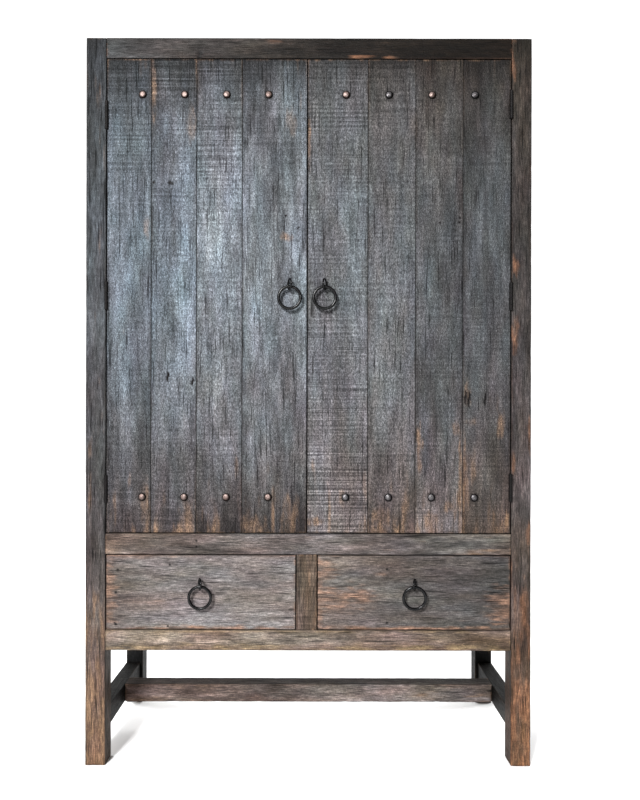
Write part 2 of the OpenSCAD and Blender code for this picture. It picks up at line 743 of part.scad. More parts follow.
module right_door_ring() ring(door_pull_x(RIGHT), door_pull_z());
module left_drawer_ring() ring(drawer_pull_x(LEFT), drawer_pull_z());
module right_drawer_ring() ring(drawer_pull_x(RIGHT), drawer_pull_z());

front_left_post();
front_right_post();
back_left_post();
back_right_post();
top_rail();
mid_rail();
lower_rail();
drawer_mullion();
back_rails();
side_rails();
left_side_boards();
right_side_boards();
back_boards();
top_boards();
cabinet_floor();
floor_bearers();
lower_shelf();
upper_shelf();
shelf_cleats();
drawer_runners();
bottom_boards();
left_stretcher();
right_stretcher();
cross_stretcher();
hinge_frame_leaves();
hinge_pins();
hinge_frame_screws();
door_catches();
door_plank(LEFT, 0);  // left_door_plank_1
door_plank(LEFT, 1);  // left_door_plank_2
door_plank(LEFT, 2);  // left_door_plank_3
door_plank(LEFT, 3);  // left_door_plank_4
left_door_battens();
left_door_studs();
left_door_hinge_leaves();
left_door_hinge_screws();
left_door_strike_plate();
left_door_eye();
door_plank(RIGHT, 0);  // right_door_plank_1
door_plank(RIGHT, 1);  // right_door_plank_2
door_plank(RIGHT, 2);  // right_door_plank_3
door_plank(RIGHT, 3);  // right_door_plank_4
right_door_battens();
right_door_studs();
right_door_hinge_leaves();
right_door_hinge_screws();
right_door_strike_plate();
right_door_eye();
left_drawer_front();
left_drawer_box();
left_drawer_bottom();
left_drawer_eye();
right_drawer_front();
right_drawer_box();
right_drawer_bottom();
right_drawer_eye();
left_door_ring();
right_door_ring();
left_drawer_ring();
right_drawer_ring();
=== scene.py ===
import json
import math

import bpy
import numpy as np
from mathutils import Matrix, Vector

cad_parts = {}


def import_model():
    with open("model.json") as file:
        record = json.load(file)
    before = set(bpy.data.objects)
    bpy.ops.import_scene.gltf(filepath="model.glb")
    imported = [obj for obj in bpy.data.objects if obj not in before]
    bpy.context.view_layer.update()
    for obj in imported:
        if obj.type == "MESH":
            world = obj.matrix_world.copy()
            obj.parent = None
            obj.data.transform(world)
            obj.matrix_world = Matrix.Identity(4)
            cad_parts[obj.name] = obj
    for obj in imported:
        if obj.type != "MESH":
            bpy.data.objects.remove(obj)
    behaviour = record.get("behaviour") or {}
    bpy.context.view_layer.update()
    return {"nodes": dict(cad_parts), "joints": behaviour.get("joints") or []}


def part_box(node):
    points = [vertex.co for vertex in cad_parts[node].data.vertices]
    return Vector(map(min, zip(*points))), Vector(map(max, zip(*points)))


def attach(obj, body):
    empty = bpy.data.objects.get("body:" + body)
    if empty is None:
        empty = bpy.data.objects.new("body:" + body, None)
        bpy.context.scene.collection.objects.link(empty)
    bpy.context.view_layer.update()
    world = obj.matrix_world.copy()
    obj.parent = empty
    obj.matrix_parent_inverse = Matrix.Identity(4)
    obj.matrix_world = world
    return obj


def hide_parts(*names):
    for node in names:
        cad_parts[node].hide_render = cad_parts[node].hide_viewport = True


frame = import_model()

MM = 0.001
X, Y, Z = 0, 1, 2
SIDES = (("left", -1), ("right", 1))

CUT = 0.3 * MM           # space between two cuts at a step in a board
EDGE_CUTS = (0, 0.35, 0.8, 1.5, 2.6)    # places of the cuts that round an edge, in edge widths
KNUCKLE_SEAT = 5.1 * MM  # radius of the hollow that clears a hinge knuckle
HINGE_SPACE = 0.2        # less than the space between two hinges, more than a hinge's own gaps
STUD_SINK = 0.4 * MM     # how deep the back of a nail head sits in the wood
NAIL_SOIL_AND_SHADE_REACH = 2 * MM       # how far the dirt and painted contact shade reach past a nail head
HIGH_END_SHADE_REACH = 0.09       # length of the painted shade at a board's high end
FOOT_REACH = 0.18        # length of the light stretch at a board's low end
END_REACH = 0.07         # length at each end where the edges are rubbed most
FLOOR_HALF = 9           # half the side of the floor
FLOOR_DROP = 0.4 * MM    # how far the floor lies under the feet

# Colours of the wood where its finish is gone, and of the dark in its holes, cracks and seams, where the
# seams hold dirt and painted shade, as linear RGB.
UMBER = np.array((0.055, 0.034, 0.024))
TAN = np.array((0.140, 0.086, 0.052))
EMBER = np.array((0.150, 0.072, 0.040))
STRAW = np.array((0.170, 0.120, 0.066))
RUST = np.array((0.190, 0.108, 0.072))
PITCH = np.array((0.004, 0.0035, 0.0035))


# ---------------------------------------------------------------- noise

def lattice_value(cell, seed):
    """A repeatable number from 0 to 1 for each whole-numbered cell."""
    c = cell.astype(np.int64).astype(np.uint32)
    h = c[:, 0] * np.uint32(73856093) ^ c[:, 1] * np.uint32(19349663)
    h ^= c[:, 2] * np.uint32(83492791) ^ np.uint32((seed * 2654435761) % 2**32)
    h = (h ^ (h >> np.uint32(13))) * np.uint32(1274126177)
    h = (h ^ (h >> np.uint32(16))) * np.uint32(2246822519)
    return ((h ^ (h >> np.uint32(15))) & np.uint32(0xFFFF)) / 65535.0


def noise(points, size, seed):
    """Smooth noise from 0 to 1 whose lumps measure size along each axis."""
    p = points / np.asarray(size)
    base = np.floor(p)
    f = p - base
    f = f * f * (3 - 2 * f)
    total = np.zeros(len(p))
    for corner in np.ndindex(2, 2, 2):
        weight = np.ones(len(p))
        for axis in (X, Y, Z):
            weight *= f[:, axis] if corner[axis] else 1 - f[:, axis]
        total += weight * lattice_value(base + np.array(corner), seed)
    return total


def cloud(points, size, seed, octaves=3):
    """Noise with finer detail on top, still from 0 to 1."""
    total, reach, size = 0, 0, np.asarray(size, float)
    for octave in range(octaves):
        share = 0.55**octave
        total = total + share * noise(points, size / 2**octave, seed + 31 * octave)
        reach += share
    return total / reach


def ramp(value, low, high):
    """0 below low, 1 above high and a smooth step between them."""
    t = np.clip((value - low) / (high - low), 0, 1)
    return t * t * (3 - 2 * t)


def blend_colours(under, over, share):
    """Mixes two colours by each point's own share of the second."""
    return under + (over - under) * share[:, None]


# ---------------------------------------------------------------- meshes

def stations(low, high, step, edge):
    """Places of the cuts along one side of a board, closer together near its ends."""
    near = [s * edge for s in EDGE_CUTS]
    near = [n for n in near if n < (high - low) * 0.45]
    first, last = low + near[-1], high - near[-1]
    count = max(1, int(round((last - first) / step)))
    inner = np.linspace(first, last, count + 1)
    return np.concatenate([low + np.array(near[:-1]), inner, high - np.array(near[:-1])[::-1]])


def with_cuts(cuts, middle, reach):
    """The cuts with more of them close to a small mark."""
    spots = middle + reach * np.array((-1.1, -0.5, 0, 0.5, 1.1))
    kept = [c for c in cuts[1:-1] if abs(c - middle) > 1.5 * reach]
    inside = [s for s in spots if cuts[0] + CUT < s < cuts[-1] - CUT]
    return np.sort(np.concatenate([cuts[:1], kept, inside, cuts[-1:]]))


def box_shell(cuts):
    """Points and faces of a closed box whose sides are cut at these places."""
    n = [len(c) - 1 for c in cuts]
    stride = ((n[1] + 1) * (n[2] + 1), n[2] + 1, 1)
    faces = []
    for axis in (X, Y, Z):
        u, v = (axis + 1) % 3, (axis + 2) % 3
        iu, iv = np.meshgrid(np.arange(n[u]), np.arange(n[v]), indexing="ij")
        iu, iv = iu.ravel(), iv.ravel()
        for end in (0, n[axis]):
            ids = [end * stride[axis] + (iu + a) * stride[u] + (iv + b) * stride[v]
                   for a, b in ((0, 0), (1, 0), (1, 1), (0, 1))]
            quad = np.stack(ids, axis=1)
            faces.append(quad if end else quad[:, ::-1])
    faces = np.concatenate(faces)
    used, faces = np.unique(faces, return_inverse=True)
    faces = faces.reshape(-1, 4)
    ix, rest = np.divmod(used, stride[0])
    iy, iz = np.divmod(rest, stride[1])
    points = np.stack([cuts[0][ix], cuts[1][iy], cuts[2][iz]], axis=1)
    return points, faces


def mesh_object(name, points, faces, material):
    """A smooth-shaded object from an array of points and a list of faces."""
    mesh = bpy.data.meshes.new(name)
    mesh.from_pydata(points.tolist(), [], faces)
    mesh.polygons.foreach_set("use_smooth", np.full(len(mesh.polygons), True))
    mesh.materials.append(material)
    piece = bpy.data.objects.new(name, mesh)
    bpy.context.collection.objects.link(piece)
    return piece


def store(piece, name, kind, values):
    """Keeps one value per point on the mesh, for its material to read."""
    layer = piece.data.attributes.new(name, kind, "POINT")
    field = {"FLOAT": "value", "FLOAT_VECTOR": "vector", "FLOAT_COLOR": "color"}[kind]
    if kind == "FLOAT_COLOR":
        values = np.concatenate([values, np.ones((len(values), 1))], axis=1)
    layer.data.foreach_set(field, np.ascontiguousarray(values, np.float32).ravel())


def place(piece, body, slot, *nodes):
    """Hangs the piece on its body, in place of these CAD nodes."""
    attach(piece, body)
    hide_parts(*nodes)
    return piece


# ---------------------------------------------------------------- boards

LOOK = {
    # Three values each, at the low end, the middle and the high end of the board.
    "shade": (4, 4, 4),    # albedo of the finish, in hundredths
    "cool": (0, 0, 0),     # from brown (-1) to blue (1)
    "reddish": (0, 0, 0),  # share of red in the finish
    "bare": (0, 0, 0),     # share of bare wood
    "saw": (0.3, 0.3, 0.3),    # strength of the saw marks across the grain
    # One value for the whole board.
    "bare_colour": TAN,
    "blotch": 0.5,         # unevenness of the finish
    "high_end_shade": 0.0,          # how much painted shade darkens the finish at the high end itself
    "foot": 0.0,           # how much lighter the finish is at the low end itself
    "wear": 0.5,           # how far the edges are rubbed
    "edge_soil_and_shade": 1.3 * MM,     # reach of the dark along the edges: dirt in the seams and painted shade in the gaps between boards
    "radius": 1.0 * MM,    # roundness of the edges
    "relief": 0.35 * MM,   # depth of the raised grain
    "across": None,        # axis that marks are measured along, if not the board's wider one
    # Any number of each. Places are metres from the board's low corner, across and along the grain.
    "cracks": (),          # (across, along, length, width)
    "holes": (),           # (across, along, radius)
    "nail_soil_and_shade": (),            # (across, along, radius) of dirt and painted contact shade around a nail head
    "stains": (),          # (across, along, half width, half length, strength) of rubbed places
    "painted_shade_sides": (),             # (axis, way, share) of a side darkened with painted shade
}
board_count = 0


def along_the_grain(t, values):
    """A smooth curve through the values at t = 0, 0.5 and 1."""
    a, b, c = values
    return a * (1 - t) * (1 - 2 * t) + 4 * b * t * (1 - t) + c * t * (2 * t - 1)


def soft_box(points, low, high, radius):
    """Rounds a box's edges by each point's own radius. Gives the points and their outward directions."""
    r = radius[:, None]
    core = np.clip(points, low + r, high - r)
    out = points - core
    length = np.maximum(np.linalg.norm(out, axis=1, keepdims=True), 1e-9)
    normal = out / length
    return core + normal * r, normal


def carve(points, pins, reach):
    """Pushes points out of the round seats of the hinge knuckles: (x, y, low z, high z) each."""
    for x, y, z0, z1 in pins:
        flat = points[:, :2] - (x, y)
        away = np.maximum(np.linalg.norm(flat, axis=1), 1e-6)
        inside = (away < reach) & (points[:, 2] > z0) & (points[:, 2] < z1)
        points[inside, :2] = (x, y) + flat[inside] * (reach / away[inside])[:, None]
    return points


def marks(across, along, look):
    """Depth and darkness of the cracks and nail holes on a board's faces."""
    depth, dark = np.zeros(len(across)), np.zeros(len(across))
    for a, s, length, width in look["cracks"]:
        t = np.clip(1 - ((along - s) / (length / 2)) ** 2, 0, 1)
        sway = 0.35 * width * np.sin((along - s) / length * 9)
        gap = np.exp(-(((across - a - sway) / (width * (0.3 + 0.7 * t))) ** 2) * 2) * (t > 0)
        depth = np.maximum(depth, 2.5 * MM * gap * t)
        dark = np.maximum(dark, ramp(gap * t, 0.1, 0.5))
    for a, s, r in look["holes"]:
        gone = np.hypot(across - a, along - s) / r
        depth = np.maximum(depth, 2 * MM * np.exp(-gone**4))
        dark = np.maximum(dark, np.exp(-gone**4))
    # Dirt and painted contact shade: a dark ring just past each nail head's rim.
    for a, s, r in look["nail_soil_and_shade"]:
        gone = np.hypot(across - a, along - s) / r
        dark = np.maximum(dark, 0.85 * np.exp(-gone**8))
    return depth, dark


def stained(local, look, seed):
    """Share of the marks where the finish is rubbed off in one place."""
    share = np.zeros(len(local))
    ragged = cloud(local, (0.007, 0.007, 0.03), seed + 4)
    for a, s, wide, long, strength in look["stains"]:
        gone = np.hypot((local[:, 0] - a) / wide, (local[:, 2] - s) / long)
        share = np.maximum(share, strength * ramp(1.25 - gone + (ragged - 0.5) * 1.6, 0, 1))
    return share


def finish_colour(local, t, edge, length, look, dark, seed):
    """The colour of the finish at each point of a board, with painted shade at its high end and along its
    edges.
    """
    patches = cloud(local, (0.045, 0.045, 0.2), seed + 1)
    fine = cloud(local, (0.010, 0.010, 0.05), seed + 2)
    hue = cloud(local, (0.03, 0.03, 0.10), seed + 9)
    warm = cloud(local, (0.04, 0.04, 0.13), seed + 10)
    tone = along_the_grain(t, look["shade"]) / 100
    tone = tone * 2 ** (((patches - 0.5) * 2.4 + (fine - 0.5) * 1.6) * look["blotch"])
    cool = along_the_grain(t, look["cool"]) + (hue - 0.5) * 1.3 + (patches - 0.5) * 0.5
    # Painted shade: the finish darkens towards the board's high end.
    tone *= 1 - look["high_end_shade"] * np.exp(-(1 - t) * length / HIGH_END_SHADE_REACH)
    tone *= 1 + look["foot"] * np.exp(-t * length / FOOT_REACH)
    red = along_the_grain(t, look["reddish"]) + (warm - 0.5) * 1.2
    c = tone[:, None] * np.stack([1 + 0.1 * red, 1 + 0.13 * cool - 0.08 * red, 1 + 0.26 * cool], axis=1)
    rubbed = cloud(local, (0.012, 0.012, 0.09), seed + 3)
    bare = ramp(along_the_grain(t, look["bare"]) + (rubbed - 0.5) * 1.5 + (patches - 0.5) * 0.8, 0.35, 1.0)
    near_end = np.exp(-np.minimum(t, 1 - t) * length / END_REACH)
    reach = (1.0 + 9 * look["wear"] * rubbed**2) * MM
    rub = np.exp(-(edge / reach) ** 1.5) * look["wear"] * ramp(rubbed, 0.3, 0.7) * (0.15 + 0.9 * near_end)
    under = blend_colours(look["bare_colour"], UMBER, ramp(fine, 0.35, 0.75))
    share = np.maximum.reduce([bare * 0.8, rub * 1.2, stained(local, look, seed) * 0.85])
    c = blend_colours(c, under, np.clip(share, 0, 1))
    # Dirt and painted shade: a dark band along every edge, which blackens the gaps between boards.
    edge_soil_and_shade = np.exp(-edge / look["edge_soil_and_shade"]) * (1 - np.clip(rub * 2, 0, 1))
    return blend_colours(c, PITCH, np.clip(dark + 0.75 * edge_soil_and_shade, 0, 1))


def board_cuts(low, high, along, wide, steps, look, pins):
    """Places of the cuts along each axis of a board, closer together at its edges and marks."""
    cuts = [stations(low[a], high[a], steps[a], 1.2 * look["radius"]) for a in (X, Y, Z)]
    ends = [z for pin in pins for z in (pin[2] - CUT, pin[2], pin[3], pin[3] + CUT)]
    cuts[Z] = np.sort(np.concatenate([cuts[Z], ends]))
    for across, away, r in (*look["holes"], *look["nail_soil_and_shade"]):
        cuts[wide] = with_cuts(cuts[wide], low[wide] + across, r)
        cuts[along] = with_cuts(cuts[along], low[along] + away, r)
    for across, _, _, width in look["cracks"]:
        cuts[wide] = with_cuts(cuts[wide], low[wide] + across, width / 2)
    return cuts


def sink_of(local, saw, look, seed):
    """How far the grain and the saw marks lie under a board's own surface."""
    grain = cloud(local, (0.006, 0.006, 0.14), seed + 6)
    swell = cloud(local, (0.09, 0.09, 0.3), seed + 7, 2)
    sawn = noise(local, (0.11, 0.11, 0.0055), seed + 8) * saw
    return look["relief"] * (0.55 * grain + 0.45 * swell + 0.8 * sawn)


def board(name, low, high, along, body, slot, node, look=None, step=6 * MM, grain_step=None,
          pins=()):
    """One worn board in place of a CAD node, or of one of its solids."""
    global board_count
    board_count += 1
    seed = 97 * board_count
    look = {**LOOK, **(look or {})}
    low, high = np.array(low, float), np.array(high, float)
    steps = [step] * 3
    steps[along] = grain_step or step * 1.5
    others = [a for a in (X, Y, Z) if a != along]
    wide = max(others, key=lambda a: high[a] - low[a])
    if look["across"] is not None:
        wide = look["across"]
    thin = X + Y + Z - along - wide
    points, faces = box_shell(board_cuts(low, high, along, wide, steps, look, pins))
    length = high[along] - low[along]
    local = (points - low)[:, [wide, thin, along]]
    t = local[:, 2] / length
    saw = np.maximum(along_the_grain(t, look["saw"]), 0)
    chips = cloud(local, (0.02, 0.02, 0.035), seed + 5)
    radius = look["radius"] * (0.75 + 2.2 * look["wear"] * ramp(chips, 0.45, 0.9))
    edge = np.sort(np.minimum(points - low, high - points), axis=1)[:, 1]
    shaped, normal = soft_box(points, low, high, radius)
    depth, dark = marks(local[:, 0], local[:, 2], look)
    on_wide_face = ramp(np.abs(normal[:, thin]), 0.5, 0.9)
    shaped -= normal * (sink_of(local, saw, look, seed) + depth * on_wide_face)[:, None]
    shaped = carve(shaped, pins, KNUCKLE_SEAT)
    tint = finish_colour(local, t, edge, length, look, dark * on_wide_face, seed)
    # Painted shade: the listed sides, such as the top of the cross stretcher and the inner faces of the
    # front legs, are darkened as if in shade.
    for axis, way, share in look["painted_shade_sides"]:
        tint *= 1 + (share - 1) * ramp(normal[:, axis] * way, 0.6, 0.9)[:, None]
    material = FRAME_WOOD if slot == "frame_wood" else WOOD
    piece = mesh_object(name, shaped, faces.tolist(), material)
    store(piece, "tint", "FLOAT_COLOR", tint)
    offset = np.array((seed * 0.37 % 7, seed * 0.53 % 5, seed * 0.71 % 9))
    store(piece, "grain", "FLOAT_VECTOR", local + offset)
    store(piece, "saw", "FLOAT", saw)
    return place(piece, body, slot, node)


# ---------------------------------------------------------------- materials

def new_material(name):
    """A material with an empty node tree, and that tree."""
    mat = bpy.data.materials.new(name)
    mat.use_nodes = True
    mat.node_tree.nodes.clear()
    return mat, mat.node_tree


def add(tree, kind, inputs=None, **settings):
    """A node with these settings. An input is a number, a colour or another node's output."""
    made = tree.nodes.new(kind)
    for key, value in settings.items():
        setattr(made, key, value)
    for key, value in (inputs or {}).items():
        if isinstance(value, bpy.types.NodeSocket):
            tree.links.new(value, made.inputs[key])
        else:
            made.inputs[key].default_value = value
    return made


def attribute(tree, name, output="Fac"):
    """What store() kept on the mesh."""
    return add(tree, "ShaderNodeAttribute", attribute_name=name).outputs[output]


def stretched(tree, coords, scale):
    return add(tree, "ShaderNodeMapping", {"Vector": coords, "Scale": scale}).outputs["Vector"]


def fibre(tree, coords, scale, detail=3.0, low=0.3, high=0.7):
    """Noise stretched by scale and spread over -1 to 1."""
    made = add(tree, "ShaderNodeTexNoise", {"Vector": stretched(tree, coords, scale), "Scale": 1.0,
               "Detail": detail, "Roughness": 0.6})
    spread = add(tree, "ShaderNodeMapRange", {"Value": made.outputs["Fac"], "From Min": low,
                 "From Max": high, "To Min": -1.0, "To Max": 1.0})
    return spread.outputs["Result"]


def math_node(tree, operation, a, b):
    return add(tree, "ShaderNodeMath", {0: a, 1: b}, operation=operation).outputs[0]


def weighted(tree, terms):
    """The sum of (weight, output) terms."""
    total = None
    for weight, output in terms:
        part = math_node(tree, "MULTIPLY", output, weight)
        total = part if total is None else math_node(tree, "ADD", total, part)
    return total


def output_shader(tree, colour, rough, height, distance, **fixed):
    """The material's surface, with height as its bumps. Fixed values go straight on the shader."""
    bump = add(tree, "ShaderNodeBump", {"Height": height, "Distance": distance, "Strength": 0.9})
    shader = add(tree, "ShaderNodeBsdfPrincipled", {"Base Color": colour, "Roughness": rough,
                 "Normal": bump.outputs["Normal"]})
    for key, value in fixed.items():
        shader.inputs[key.replace("_", " ")].default_value = value
    add(tree, "ShaderNodeOutputMaterial", {"Surface": shader.outputs["BSDF"]})


def band(tree, value, low, high, out_low=0.0, out_high=1.0):
    """Value from low to high stretched over out_low to out_high, and no further."""
    return add(tree, "ShaderNodeMapRange", {"Value": value, "From Min": low, "From Max": high,
               "To Min": out_low, "To Max": out_high}).outputs["Result"]


def wood(name, contrast, hair_along, speck_share):
    """Sawn, stained wood: fibres along the grain and saw marks across it, over the painted tint."""
    mat, tree = new_material(name)
    coords = attribute(tree, "grain", "Vector")
    hair = fibre(tree, coords, (400, 400, hair_along), detail=2.0)
    streak = fibre(tree, coords, (95, 95, 9), detail=3.0)
    speck = fibre(tree, coords, (380, 380, 300), detail=1.0)
    fissure = fibre(tree, coords, (260, 260, 11), detail=1.0, low=0.5, high=0.85)
    fissure = band(tree, fissure, -0.35, 0.5)
    lines = fibre(tree, coords, (2.5, 2.5, 170), detail=2.0, low=0.36, high=0.64)
    zones = fibre(tree, coords, (7, 7, 14), detail=2.0, low=0.35, high=0.6)
    zones = math_node(tree, "MULTIPLY", band(tree, zones, -1.0, 1.0, 0.25, 1.0), attribute(tree, "saw"))
    lines = math_node(tree, "MULTIPLY", lines, zones)
    mix = weighted(tree, [(0.6, hair), (0.3, streak), (speck_share, speck), (1.0, lines), (-1.5, fissure)])
    gain = math_node(tree, "POWER", 2.0, math_node(tree, "MULTIPLY", mix, contrast))
    colour = add(tree, "ShaderNodeVectorMath", {0: attribute(tree, "tint", "Color"), "Scale": gain},
                 operation="SCALE").outputs["Vector"]
    rough = band(tree, mix, -1.0, 1.0, 0.65, 0.42)
    output_shader(tree, colour, rough, mix, 0.5 * MM, Specular_IOR_Level=0.08)
    return mat


def metal(name, colour, dark, scale, metallic, rough, bump, specular=0.25, painted_light_tint=False):
    """Forged or plated metal with uneven colour and a pitted surface. It can also be multiplied by the
    mesh's tint, which on the nail heads is a painted highlight and painted rim shade.
    """
    mat, tree = new_material(name)
    coords = add(tree, "ShaderNodeTexCoord").outputs["Object"]
    pits = fibre(tree, coords, (scale, scale, scale), detail=4.0)
    patches = fibre(tree, coords, (scale / 6, scale / 6, scale / 6), detail=2.0)
    mix = weighted(tree, [(0.5, pits), (0.5, patches)])
    shown = add(tree, "ShaderNodeMix", {"Factor": band(tree, mix, -0.8, 0.8), "A": (*dark, 1),
                "B": (*colour, 1)}, data_type="RGBA").outputs["Result"]
    # The nail heads' tint: a painted highlight and painted shade at the rim.
    if painted_light_tint:
        shown = add(tree, "ShaderNodeVectorMath", {0: shown, 1: attribute(tree, "tint", "Color")},
                    operation="MULTIPLY").outputs["Vector"]
    rough = band(tree, mix, -1.0, 1.0, rough + 0.08, rough - 0.08)
    output_shader(tree, shown, rough, mix, bump, Metallic=metallic, Specular_IOR_Level=specular)
    return mat


WOOD = wood("stained_wood", 1.4, 100, 0.55)
FRAME_WOOD = wood("stained_frame_wood", 1.55, 42, 0.25)
BLACK_IRON = metal("black_iron", (0.003, 0.003, 0.0035), (0.001, 0.001, 0.001), 300, 0.0, 0.26,
                   0.03 * MM, 0.17)
HINGE_IRON = metal("hinge_iron", (0.006, 0.005, 0.005), (0.002, 0.002, 0.002), 400, 0.0, 0.6,
                   0.05 * MM, 0.08)
STUD_IRON = metal("stud_iron", (0.19, 0.15, 0.14), (0.09, 0.058, 0.048), 500, 1.0, 0.52,
                  0.2 * MM, painted_light_tint=True)
GREY_STUD_IRON = metal("grey_stud_iron", (0.13, 0.125, 0.13), (0.05, 0.045, 0.045), 500, 1.0, 0.45,
                       0.2 * MM, painted_light_tint=True)
STEEL = metal("plated_steel", (0.07, 0.07, 0.072), (0.04, 0.04, 0.04), 1200, 1.0, 0.45, 0.05 * MM)


# ---------------------------------------------------------------- sizes from the frame

def low_of(node):
    return np.array(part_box(node)[0])


def high_of(node):
    return np.array(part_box(node)[1])


def cad_points(node):
    return np.array([v.co for v in frame["nodes"][node].data.vertices])


def solids(node):
    """The (low corner, high corner) of each separate solid of a CAD node."""
    spots, same = np.unique(cad_points(node).round(6), axis=0, return_inverse=True)
    same = same.ravel()
    group = np.arange(len(spots))
    corners = [[same[v] for v in face.vertices] for face in frame["nodes"][node].data.polygons]
    changed = True
    while changed:
        changed = False
        for face in corners:
            least = min(group[c] for c in face)
            for c in face:
                if group[c] != least:
                    group[c] = least
                    changed = True
    boxes = [(spots[group == g].min(0), spots[group == g].max(0)) for g in np.unique(group)]
    return sorted(boxes, key=lambda box: tuple(box[0].round(4)))


def hinge_seats(side, sign):
    """(x, y, low z, high z) of the hinge pins at one side."""
    x, y, _ = JOINTS[f"{side}_door_hinge"]["pos_m"]
    points = cad_points("hinge_pins")
    heights = np.sort(points[points[:, X] * sign > 0][:, Z])
    parts = np.split(heights, np.where(np.diff(heights) > HINGE_SPACE)[0] + 1)
    return [(x, y, part[0], part[-1]) for part in parts]


FRONT = low_of("front_left_post")[Y]
IN_LEFT = high_of("front_left_post")[X]
IN_RIGHT = low_of("front_right_post")[X]
POST_BACK = high_of("front_left_post")[Y]
POST_FORE = low_of("back_left_post")[Y]
JOINTS = {joint["name"]: joint for joint in frame["joints"]}
PINS = {side: hinge_seats(side, sign) for side, sign in SIDES}


# ---------------------------------------------------------------- the carcass

def posts():
    # Painted shade: the back posts are nearly black at their low end, standing in the shade under the
    # cabinet.
    back = {"shade": (0, 2, 3), "cool": (0, 0, 0)}
    looks = {
        "front_left_post": {"shade": (7, 3, 1), "cool": (-2.5, 0.5, 1), "bare": (1.05, 0.12, 0.0),
                            "wear": 0.5, "blotch": 1.1, "high_end_shade": 0.7, "reddish": (1.0, 0.2, 0),
                            "foot": 0.65, "painted_shade_sides": ((X, 1, 0.3),)},
        "front_right_post": {"shade": (2, 3.5, 1), "cool": (-3, -0.5, -1.5),
                             "bare": (1.15, -0.1, -0.2), "wear": 0.6, "blotch": 1.1,
                             "bare_colour": EMBER,
                             "reddish": (1.0, 0.4, 0.2), "foot": 3.6, "painted_shade_sides": ((X, -1, 0.3),),
                             "stains": ((0.004, 1.873, 0.009, 0.034, 0.7), (0.004, 1.953, 0.010, 0.006, 0.4),
                                        (0.006, 1.347, 0.011, 0.026, 0.7), (0.006, 1.165, 0.012, 0.045, 0.8),
                                        (0.004, 0.819, 0.008, 0.035, 0.8), (0.052, 0.894, 0.006, 0.060, 0.7),
                                        (0.050, 0.624, 0.009, 0.030, 0.6),
                                         (0.036, 0.420, 0.011, 0.070, 0.7))},
        "back_left_post": back,
        "back_right_post": back,
    }
    for node, look in looks.items():
        look = {"radius": 1.8 * MM, "relief": 0.5 * MM, "blotch": 0.6, "edge_soil_and_shade": 2.2 * MM,
                "saw": (0.1, 0.1, 0.1), "across": X, **look}
        side = "left" if "left" in node else "right"
        pins = PINS[side] if "front" in node else ()
        board(f"{node}_wood", low_of(node), high_of(node), Z, "carcass", "frame_wood", node, look,
              step=4 * MM, grain_step=6 * MM, pins=pins)


def front_rails():
    looks = {
        "top_rail": {"shade": (2, 0.5, 0.5), "cool": (0, -1.5, -2), "bare": (-0.4, -0.1, -0.2),
                     "wear": 0.3, "reddish": (0, 0.6, 0.3), "blotch": 1.3, "bare_colour": EMBER,
                     "stains": ((0.003, 0.687, 0.006, 0.030, 0.8), (0.003, 0.767, 0.006, 0.020, 0.7)),
                     "holes": ((0.015, 0.254, 0.008), (0.004, 0.250, 0.006))},
        "mid_rail": {"shade": (5.5, 5.5, 4.5), "cool": (-1.5, -0.5, -1), "bare": (0.2, 0.0, 0.15),
                     "wear": 0.5, "reddish": (0.5, 0.3, 0.2),
                     "holes": ((0.020, 0.245, 0.003), (0.036, 0.245, 0.003))},
        "lower_rail": {"shade": (8, 8, 7.5), "cool": (-1.5, -1.5, -1.5), "bare": (0.1, 0.0, 0.1),
                       "wear": 0.5, "bare_colour": STRAW, "reddish": (0.3, 0.3, 0.7),
                       "stains": ((0.004, 0.270, 0.014, 0.300, 0.8), (0.004, 0.830, 0.014, 0.320, 0.8),
                                  (0.054, 0.450, 0.008, 0.500, 0.5))},
    }
    for node, look in looks.items():
        low, high = low_of(node), high_of(node)
        low[X], high[X] = IN_LEFT, IN_RIGHT
        look = {"radius": 1.6 * MM, "relief": 0.5 * MM, "blotch": 1.2, "saw": (0, 0, 0), **look}
        board(f"{node}_wood", low, high, X, "carcass", "frame_wood", node, look,
              step=4 * MM, grain_step=6 * MM)


def hidden_rails():
    look = {"shade": (2.5, 2.5, 2.5), "cool": (-0.5, -0.5, -0.5), "bare": (0.2, 0.2, 0.2)}
    for n, (low, high) in enumerate(solids("back_rails")):
        low[X], high[X] = IN_LEFT, IN_RIGHT
        board(f"back_rail_{n + 1}", low, high, X, "carcass", "frame_wood", "back_rails", look, step=9 * MM)
    for n, (low, high) in enumerate(solids("side_rails")):
        low[Y], high[Y] = POST_BACK, POST_FORE
        board(f"side_rail_{n + 1}", low, high, Y, "carcass", "frame_wood", "side_rails", look, step=8 * MM)


def mullion():
    low, high = low_of("drawer_mullion"), high_of("drawer_mullion")
    low[Z], high[Z] = high_of("lower_rail")[Z], low_of("mid_rail")[Z]
    board("drawer_upright", low, high, Z, "carcass", "frame_wood", "drawer_mullion",
          {"shade": (6, 5, 5), "cool": (-1.5, -1.5, -1.5), "reddish": (0.6, 0.5, 0.5),
           "bare": (0.4, 0.25, 0.25), "wear": 0.7,
           "radius": 1.4 * MM}, step=4 * MM)


